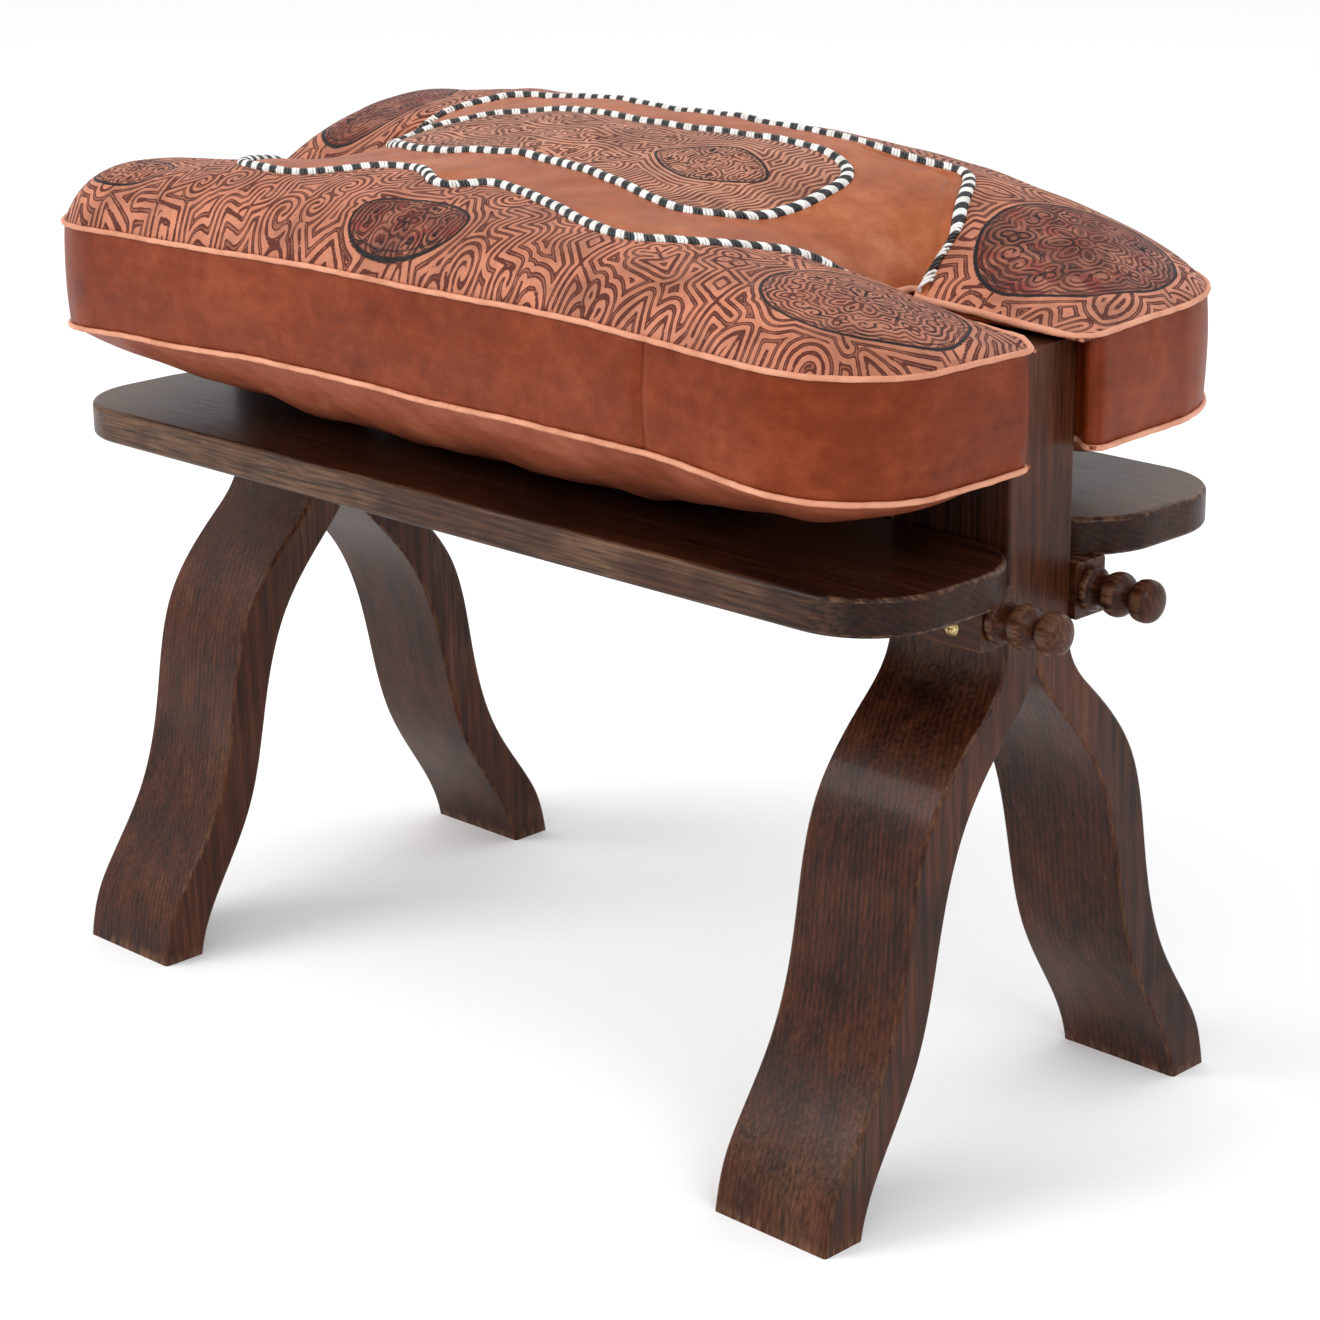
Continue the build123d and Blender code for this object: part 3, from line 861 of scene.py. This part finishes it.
def stained_wood(name, stretch, across, seed, wear=None, shade=1.0, pale=0.0, roughness=0.34):
    """Walnut-stained softwood under satin varnish. wear gives two masks: where the stain is rubbed
    off, and where the open grain shows."""
    look = Look(name, roughness, 0.13, coat=0.07, coat_roughness=0.12)
    tone, fibres, pores = wood_tone(look, stretch, across, seed)
    stain = [
        (0.40, (0.0040, 0.0012, 0.0008)), (0.56, (0.0165, 0.0043, 0.0019)),
        (0.70, (0.055, 0.0145, 0.0055)), (0.88, (0.115, 0.036, 0.0155)),
    ]
    # shade scales the whole stain darker; the boards' 0.5 is painted shade from the cushion over them
    colour = look.ramp(tone, [(at, tuple(shade * c for c in tint)) for at, tint in stain])
    colour = look.lay(colour, pores, 0.75, (0.005, 0.0018, 0.0011))
    open_grain = look.ramp(fibres, [(0.36, (0.020, 0.008, 0.0045)), (0.62, (0.17, 0.088, 0.048))])
    if pale:
        beech = look.ramp(fibres, [(0.35, (0.16, 0.08, 0.04)), (0.65, (0.45, 0.29, 0.16))])
        colour = look.mix(pale, colour, beech)
    if wear:
        rubbed, opened = wear(look)
        scraped = look.moved(scale=stretch, location=(seed, seed, 0))
        ragged = look.step(look.noise(240.0, 5.0, 0.7, 0.0, scraped), 0.42, 0.62)
        colour = look.mix(opened, colour, open_grain)
        colour = look.lay(colour, rubbed, ragged, (0.20, 0.10, 0.052))
    look.colour(colour)
    look.roughness(look.scaled(fibres, 0.35, roughness - 0.15))
    ridges = look.less(fibres, look.times(pores, 0.6))
    look.relief([(look.noise(25.0, 2.0), 1.0, 0.2), (ridges, 0.35, 0.55)])
    return look.material


def facings(look):
    """How squarely a face looks along each axis."""
    normal = look.put("ShaderNodeNewGeometry").outputs["Normal"]
    return [look.size(part) for part in look.parts(normal)]


def arris(look, turn):
    """Where a face turns between one axis and the others, which is only on rounded edges."""
    return look.times(look.step(turn, 0.12, 0.35), look.step(turn, 0.985, 0.93))


def leg_wear(look):
    """The rounded arrises of a leg, and the end of its foot; grain opens here and there."""
    edge = arris(look, facings(look)[0])
    foot = look.step(look.axes()[2], 0.008, 0.001)
    rubbed = look.most(look.times(edge, 0.32), look.times(foot, 0.5))
    return rubbed, look.step(look.noise(9.0, 2.0), 0.52, 0.72, 0.0, 0.35)


def board_wear(look):
    """A board's long edge and arrises rubbed grey, and the ends of its top made paler: both ends of the
    right board, and the far end of the left one."""
    end_on, _, upward = facings(look)
    end_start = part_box("seat_board_right")[1][0] - 0.11
    x, y, _ = look.axes()
    on_left = look.step(y, 0.01, -0.01)
    off = look.most(look.times(x, -1.0), look.less(x, on_left))
    # end: the tops' ends made paler with the open-grain colour, except the left board's near end
    end = look.times(look.step(off, end_start, end_start + 0.1), look.step(upward, 0.8, 0.95))
    side = look.times(look.step(upward, 0.6, 0.2), look.step(end_on, 0.6, 0.2))
    side = look.times(side, look.step(look.noise(14.0, 3.0), 0.36, 0.6, 0.2, 0.8))
    opened = look.most(side, look.times(end, 0.85))
    return look.times(arris(look, upward), 0.45), opened


def turning_wear(look):
    """The crests of a rail's turned ends."""
    x, y, z = look.axes()
    low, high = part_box("rail_left")
    across = look.less(look.size(y), abs(low[1] + high[1]) / 2)
    up = look.less(z, (low[2] + high[2]) / 2)
    squares = look.math("ADD", look.times(across, across), look.times(up, up))
    radius = look.math("SQRT", squares)
    crest = look.step(radius, 0.0108, 0.0122)
    turned = look.step(look.size(x), high[0] - 0.046, high[0] - 0.043)
    square = look.less(1.0, turned)
    block = look.times(square, look.step(look.size(up), 0.0140, 0.0152))
    rubbed = look.most(look.times(crest, look.times(turned, 0.6)), look.times(block, 0.6))
    return rubbed, look.step(look.noise(20.0, 2.0), 0.5, 0.7, 0.0, 0.35)


def metal(name, dark, light, roughness):
    """A screw head: plated, dull, with tarnish in its hollows."""
    look = Look(name, roughness, 0.5)
    look.shader.inputs["Metallic"].default_value = 1.0
    tarnish = look.noise(900.0, 5.0, 0.7)
    look.colour(look.ramp(tarnish, [(0.35, dark), (0.62, light)]))
    look.roughness(look.scaled(tarnish, 0.3, roughness - 0.12))
    look.relief([(tarnish, 0.12, 0.4)])
    return look.material


def dress(piece, *materials):
    piece.data.materials.clear()
    for material in materials:
        piece.data.materials.append(material)


# Pieces of wood: grain's stretch, the way its rings stack, first seed and its step, wear, how dark the stain
# is painted (the boards' 0.5 is painted shade cast by the cushion on them) and roughness.
UPRIGHT = (1.0, 1.0, 0.045)
LENGTHWISE = (0.045, 1.0, 1.0)
LEGS = ("leg_near_left", "leg_near_right", "leg_far_left", "leg_far_right")
TIMBER = [
    (LEGS, UPRIGHT, (0.93, 0.36, 0.02), 0.4, 1.3, leg_wear, 1.0, 0.34),
    # The boards' stain at half strength: painted shade, standing for the cushion's shadow on their tops.
    (("seat_board_left", "seat_board_right"), LENGTHWISE, (0.02, 0.5, 0.86), 7.1, 1, board_wear, 0.5, 0.34),
    (("rail_left", "rail_right"), LENGTHWISE, (0.05, 0.9, 0.4), 11.3, 1, turning_wear, 1.0, 0.3),
]


def dress_frame():
    """Better materials for the CAD pieces that stay."""
    for names, stretch, across, seed, step, wear, shade, roughness in TIMBER:
        for index, name in enumerate(names):
            wood = stained_wood(
                f"wood_{name}", stretch, across, step * index + seed, wear, shade, roughness=roughness
            )
            dress(nodes[name], wood)
    dress(nodes["post_dowels"], stained_wood("dowel_beech", LENGTHWISE, (0, 1, 0), 15.0, pale=0.9))
    dress(nodes["rail_screws"], metal("yellow_plating", (0.20, 0.13, 0.05), (0.72, 0.56, 0.27), 0.34))
    dress(nodes["board_screws"], metal("zinc_plating", (0.25, 0.24, 0.23), (0.6, 0.59, 0.57), 0.38))


# ---- pieces of the cushion
def settle(piece, node, slot, *materials):
    """A finished cushion piece is drawn into shape and takes the place of its CAD solid."""
    move_points(piece.data, drawn_in(coordinates(piece.data)))
    dress(piece, *materials)
    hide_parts(node)
    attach(piece, "cushion")


def add_top(stuffing, plan):
    """The four leather panels of the top, each on the same stuffed surface."""
    tooled = tooled_leather("tooled_leather", 4.2, (0.455, 0.168, 0.096), (0.070, 0.0120, 0.0085))
    fine_tooled = tooled_leather("medallion_leather", 3.5, (0.45, 0.195, 0.120), (0.085, 0.022, 0.015))
    shades = (0.235, 0.055, 0.016), (0.335, 0.090, 0.031), (0.44, 0.150, 0.068)
    plain = smooth_leather("plain_leather", *shades, 0.42, 2.0)
    depths = {
        "tooled_panel_left": np.minimum(np.minimum(plan.cushion, -plan.saddle), -plan.y),
        "tooled_panel_right": np.minimum(np.minimum(plan.cushion, -plan.saddle), plan.y),
        "saddle_panel": np.minimum(np.minimum(plan.cushion, plan.saddle), -plan.medallion),
        "medallion_panel": plan.medallion,
    }
    for node, depth in depths.items():
        x, y, faces = plan.panel(depth)
        from_saddle = sampled(plan, plan.saddle, x, y)
        from_medallion = sampled(plan, plan.medallion, x, y)
        z = stuffing.top(x, y)
        z -= 0.9 * np.exp(-(from_saddle / 4.5) ** 2) + 0.9 * np.exp(-(from_medallion / 4.5) ** 2)
        if node == "saddle_panel":
            pleat = np.exp(-((from_saddle - 9.5) / 2.2) ** 2) * (x > 120) * (y > 34)
            z -= 1.5 * pleat
            z += 0.5 * waves(x, y, 26, 8) * np.exp(-np.maximum(from_saddle, 0) / 14)
        if node == "medallion_panel":
            z += 1.4 * (1 - np.exp(-from_medallion / 10))
        piece = add_object(f"{node}_leather", np.column_stack([x, y, z]), faces)
        if node == "saddle_panel":
            settle(piece, node, "plain_leather", plain)
        else:
            medallion = node == "medallion_panel"
            lines = medallion_motifs() if medallion else scatter_motifs(9)
            add_values(piece, tooling(x, y, lines))
            settle(piece, node, "tooled_leather", fine_tooled if medallion else tooled)
        thicken(piece, 1.6)


def medallion_motifs():
    """Chevrons across the near end, long flowing lines and small motifs along the rest."""
    lines = []
    for x in np.arange(100, 160, 15):
        y = np.linspace(-60, 60, 40)
        lines.append(np.column_stack([x + 4.5 * np.abs((y / 11) % 2 - 1) + 6 * np.cos(y / 30), y]))
    for y in (-34, -12, 10, 32):
        x = np.linspace(-175, 40, 60)
        lines.append(np.column_stack([x, y * (1 + 0.1 * np.sin(x / 18)) + 3.5 * np.sin(x / 11 + y)]))
    rng = np.random.RandomState(21)
    makers = (leaf, lozenge, volute, sprig, zigzag)
    for x in np.arange(-140, 60, 34):
        for y in (-22, 0, 22):
            angle = rng.uniform(-0.6, 0.6)
            motif = makers[rng.randint(5)]()
            lines += [placed(line, x + rng.uniform(-5, 5), y, angle, 0.62) for line in motif]
    return lines


def band_columns(stuffing):
    """Columns of points up the cushion's side, all round, from the bottom seam to the top one."""
    line = cushion_line(2.5)
    normals = outward(line)
    levels = np.concatenate([np.linspace(0, 0.88, 15), np.linspace(0.91, 1, 6)])
    seam_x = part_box("band_left_far")[1][0] / MM
    in_slot = np.abs(line[:, 1]) < SLOT_HALF + 2.5
    at_seam = np.exp(-((line[:, 0] - seam_x) / 2.4) ** 2) * (line[:, 1] < -SLOT_HALF - 5)
    flat = np.repeat(line, len(levels), axis=0)
    low, high = bottom_seam(*line.T), top_seam(*line.T)
    heights = np.repeat(low, len(levels)) + np.repeat(high - low, len(levels)) * np.tile(levels, len(line))
    side = np.abs(stuffing.start[:, 2] - (TOP_SEAM + BOTTOM_SEAM) / 2) < 34
    swell = spread(np.column_stack([flat, heights]), stuffing.start[side], stuffing.moved[side], 8.0)
    swell = (swell[:, :2] * np.repeat(normals, len(levels), axis=0)).sum(axis=1)
    swell = np.clip(swell.reshape(len(line), -1), 0, 6)
    arch = np.sin(pi * levels)[None, :]
    swell = swell * np.where(in_slot, 0, 0.8)[:, None] * arch ** 0.6
    run = np.arange(len(line)) * 2.5
    puckers = 0.4 * np.sin(run / 2.6 + 2 * np.sin(run / 31)) + 0.3 * np.sin(run / 4.3)
    near_seam = np.exp(-levels / 0.12) + np.exp(-(1 - levels) / 0.12)
    dents = waves(flat[:, 0], heights * 1.5 + flat[:, 1], 85, 6).reshape(len(line), -1)
    out = swell + np.where(in_slot, 0, 1)[:, None] * (
        1.4 * arch + 0.5 * dents * arch + puckers[:, None] * near_seam[None, :] * 0.5
    )
    out -= 1.3 * at_seam[:, None]
    columns = np.empty((len(line), len(levels), 3))
    columns[:, :, :2] = line[:, None] + normals[:, None] * out[:, :, None]
    columns[:, :, 2] = heights.reshape(len(line), -1)
    return line, columns, in_slot, seam_x


def add_band(stuffing):
    """The upright leather band in its three lengths, and the facings of the two slots."""
    line, columns, in_slot, seam_x = band_columns(stuffing)
    shades = (0.105, 0.0140, 0.0022), (0.160, 0.0250, 0.0045), (0.230, 0.0450, 0.0130)
    tan = smooth_leather("band_leather", *shades, 0.38, 5.0)
    x, y = line.T
    runs = {
        "band_right": (y > 0) & ~in_slot,
        "band_left_near": (y < 0) & (x > seam_x) & ~in_slot,
        "band_left_far": (y < 0) & (x <= seam_x) & ~in_slot,
        "slot_facing_near": in_slot & (x > 0),
        "slot_facing_far": in_slot & (x < 0),
    }
    count = len(line)
    for node, mask in runs.items():
        first = np.nonzero(mask & ~np.roll(mask, 1))[0][0]
        order = [(first + k) % count for k in range(mask.sum() + 1)]
        sheet = columns[order]
        piece = add_object(f"{node}_leather", sheet.reshape(-1, 3), strip(sheet))
        settle(piece, node, "band_leather", tan)
        thicken(piece, 1.8)


def add_underside():
    """The plain leather underneath, wavy where it hangs free of the boards."""
    plan = Plan(3.2)
    x, y, faces = plan.panel(plan.cushion)
    depth = np.maximum(depth_in_cushion(x, y), 0)
    hanging = held(depth / 12) * held((95 - depth) / 30)
    z = belly(x, y) + 1.5 * waves(x, y, 60, 12) * hanging
    piece = add_object("underside_leather", np.column_stack([x, y, z]), faces[:, ::-1])
    shades = (0.200, 0.046, 0.021), (0.285, 0.074, 0.036), (0.370, 0.115, 0.062)
    pink = smooth_leather("underside_leather", *shades, 0.46, 9.0)
    settle(piece, "underside_panel", "underside_leather", pink)
    thicken(piece, 1.6)


def add_piping():
    """The rolled welts in both seams; round the slots the upper one is fuller and flatter."""
    shades = (0.44, 0.170, 0.100), (0.60, 0.265, 0.165), (0.72, 0.37, 0.245)
    salmon = smooth_leather("piping_leather", *shades, 0.5, 12.0)
    line = cushion_line(2.0)
    normals = outward(line)
    in_slot = np.abs(line[:, 1]) < SLOT_HALF + 4
    run = np.arange(len(line))
    unevenness = 0.12 * np.sin(run * 0.23) + 0.08 * np.sin(run * 0.57)
    out = np.where(in_slot, 0.0, 0.5)[:, None]
    for node, seam in (("piping_top", top_seam), ("piping_bottom", bottom_seam)):
        path = np.column_stack([line + normals * out, seam(*line.T) + unevenness])
        radius = np.where(in_slot & (node == "piping_top"), PIPING + 0.5, PIPING)
        piece = add_object(f"{node}_welt", *tube(path, radius, 12))
        settle(piece, node, "piping_leather", salmon)


def lacing(stuffing, line, closed):
    """Points, faces and strand numbers of a whip-stitched braid along a line in plan."""
    line = resample(line, 0.5, closed)
    side = outward(line, closed)
    gap = 0.8
    across = (stuffing.top(*(line + side * gap).T) - stuffing.top(*(line - side * gap).T)) / (2 * gap)
    height = stuffing.top(*line.T)
    kernel = np.ones(9) / 9
    height, across = (np.convolve(np.pad(v, 4, mode="edge"), kernel, mode="valid") for v in (height, across))
    centre = np.column_stack([line, height - 0.7])
    lean = unit(np.column_stack([side, across]))
    run = unit(np.gradient(centre, axis=0))
    up = np.cross(lean, run)
    up *= np.sign(up[:, 2])[:, None]
    strands = int(len(line) * 0.5 / 1.85)
    strands -= strands % 6 if closed else 0
    sweep = np.linspace(-0.12 * pi, 1.12 * pi, 10)
    around = np.linspace(0, 2 * pi, 7, endpoint=False)
    places = (np.arange(strands) + 0.5) / strands * (len(line) - 1)
    at = places[:, None] + 3.6 * np.cos(sweep)[None, :]
    at = at % (len(line) - 1) if closed else np.clip(at, 0, len(line) - 1)
    index = at.astype(int)
    c, l, u, t = centre[index], lean[index], up[index], run[index]
    wide, tall = 3.1, 2.35
    over, rise = np.cos(sweep)[None, :, None], np.sin(sweep)[None, :, None]
    path = c + l * wide * over + u * tall * rise
    outwards = unit(l * over * tall + u * rise * wide)
    thick = 0.98 + 0.05 * np.sin(np.arange(strands) * 2.4)
    rings = path[:, :, None] + thick[:, None, None, None] * (
        outwards[:, :, None] * 0.8 * np.cos(around)[None, None, :, None]
        + t[:, :, None] * np.sin(around)[None, None, :, None]
    )
    steps, sides = len(sweep), len(around)
    number = np.arange(strands)[:, None, None] * steps * sides
    j = np.arange(steps - 1)[None, :, None] * sides
    k = np.arange(sides)[None, None, :]
    n = (k + 1) % sides
    first = number + j
    faces = np.stack([first + k, first + n, first + sides + n, first + sides + k], axis=-1)
    strand = np.repeat(np.arange(strands), (steps - 1) * sides)
    return rings.reshape(-1, 3), faces.reshape(-1, 4), strand


def add_braids(stuffing):
    """Black and white whip-stitched lacing over the edges of the saddle and the medallion."""
    white = lace("white_lace", (0.62, 0.60, 0.56), (0.88, 0.87, 0.84), 0.5, 0.4)
    black = lace("black_lace", (0.006, 0.006, 0.007), (0.022, 0.020, 0.021), 0.38, 0.5)
    throat = SLOT_END + 15
    left = [(-throat, -SLOT_HALF - 3)] + SADDLE_LEFT + [(throat, -SLOT_HALF - 3)]
    right = [(throat, SLOT_HALF + 3), (210, 63)] + SADDLE_RIGHT + [(-196, 62), (-throat, SLOT_HALF + 3)]
    lines = {
        "saddle_braid_left": (left, False),
        "saddle_braid_right": (right, False),
        "medallion_braid": (MEDALLION, True),
    }
    for node, (points, closed) in lines.items():
        line = smooth_line(points, 1.0, closed) + (CUSHION_X, 0)
        points, faces, strand = lacing(stuffing, line, closed)
        piece = add_object(f"{node}_lacing", points, faces)
        settle(piece, node, "braid_lacing", white, black)
        piece.data.polygons.foreach_set("material_index", (strand // 3 % 2).astype(np.int32))


def add_filling(stuffing):
    piece = stuffing.filling()
    settle(piece, "cushion_filling", "filling", wadding("cotton_wadding"))


# ---- camera, floor and light
def add_camera():
    """The photograph's three-quarter view, from the near left and a little above."""
    azimuth, elevation, roll = radians(44.86), radians(17.96), radians(-0.72)
    back = Vector((sin(azimuth) * cos(elevation), -cos(azimuth) * cos(elevation), sin(elevation)))
    level = Vector((0, 0, 1)).cross(back).normalized()
    upright = back.cross(level)
    right = level * cos(roll) + upright * sin(roll)
    up = -level * sin(roll) + upright * cos(roll)
    place = right * 0.02536 + up * 0.20693 + back * 2.02026
    data = bpy.data.cameras.new("camera")
    data.sensor_width = 36
    data.lens = 89.03
    camera = linked("camera", data)
    camera.matrix_world = Matrix([[right[i], up[i], back[i], place[i]] for i in range(3)] + [[0, 0, 0, 1]])
    bpy.context.scene.camera = camera


def add_area_light(name, place, size, power, colour):
    data = bpy.data.lights.new(name, "AREA")
    data.shape = "RECTANGLE"
    data.size, data.size_y = size
    data.energy = power
    data.color = colour
    light = linked(name, data)
    light.location = place
    towards = Vector((0, 0, 0.3)) - Vector(place)
    light.rotation_euler = towards.to_track_quat("-Z", "Y").to_euler()


def add_stage():
    """A plain pale floor and soft studio light."""
    far = 14 / MM
    corners = [(-far, -far, 0), (far, -far, 0), (far, far, 0), (-far, far, 0)]
    floor = add_object("floor", corners, [(0, 1, 2, 3)])
    look = Look("floor", 0.9, 0.1)
    look.shader.inputs["Base Color"].default_value = (0.93, 0.93, 0.93, 1)
    dress(floor, look.material)
    world = bpy.data.worlds.new("studio")
    world.use_nodes = True
    background = world.node_tree.nodes["Background"].inputs
    background["Color"].default_value = (1, 1, 1, 1)
    background["Strength"].default_value = 1.0
    bpy.context.scene.world = world
    bpy.context.scene.view_settings.view_transform = "Standard"
    add_area_light("window", (-1.6, -2.6, 2.6), (2.2, 1.6), 70, (1.0, 0.98, 0.95))
    add_area_light("sky", (2.6, -1.0, 2.2), (1.6, 1.6), 26, (0.82, 0.90, 1.0))
    add_area_light("back_rim", (0.4, 3.0, 2.2), (2.4, 1.2), 16, (0.9, 0.95, 1.0))


add_camera()
add_stage()
dress_frame()
stuffing = Stuffing()
add_filling(stuffing)
add_top(stuffing, Plan(1.2))
add_band(stuffing)
add_underside()
add_piping()
add_braids(stuffing)
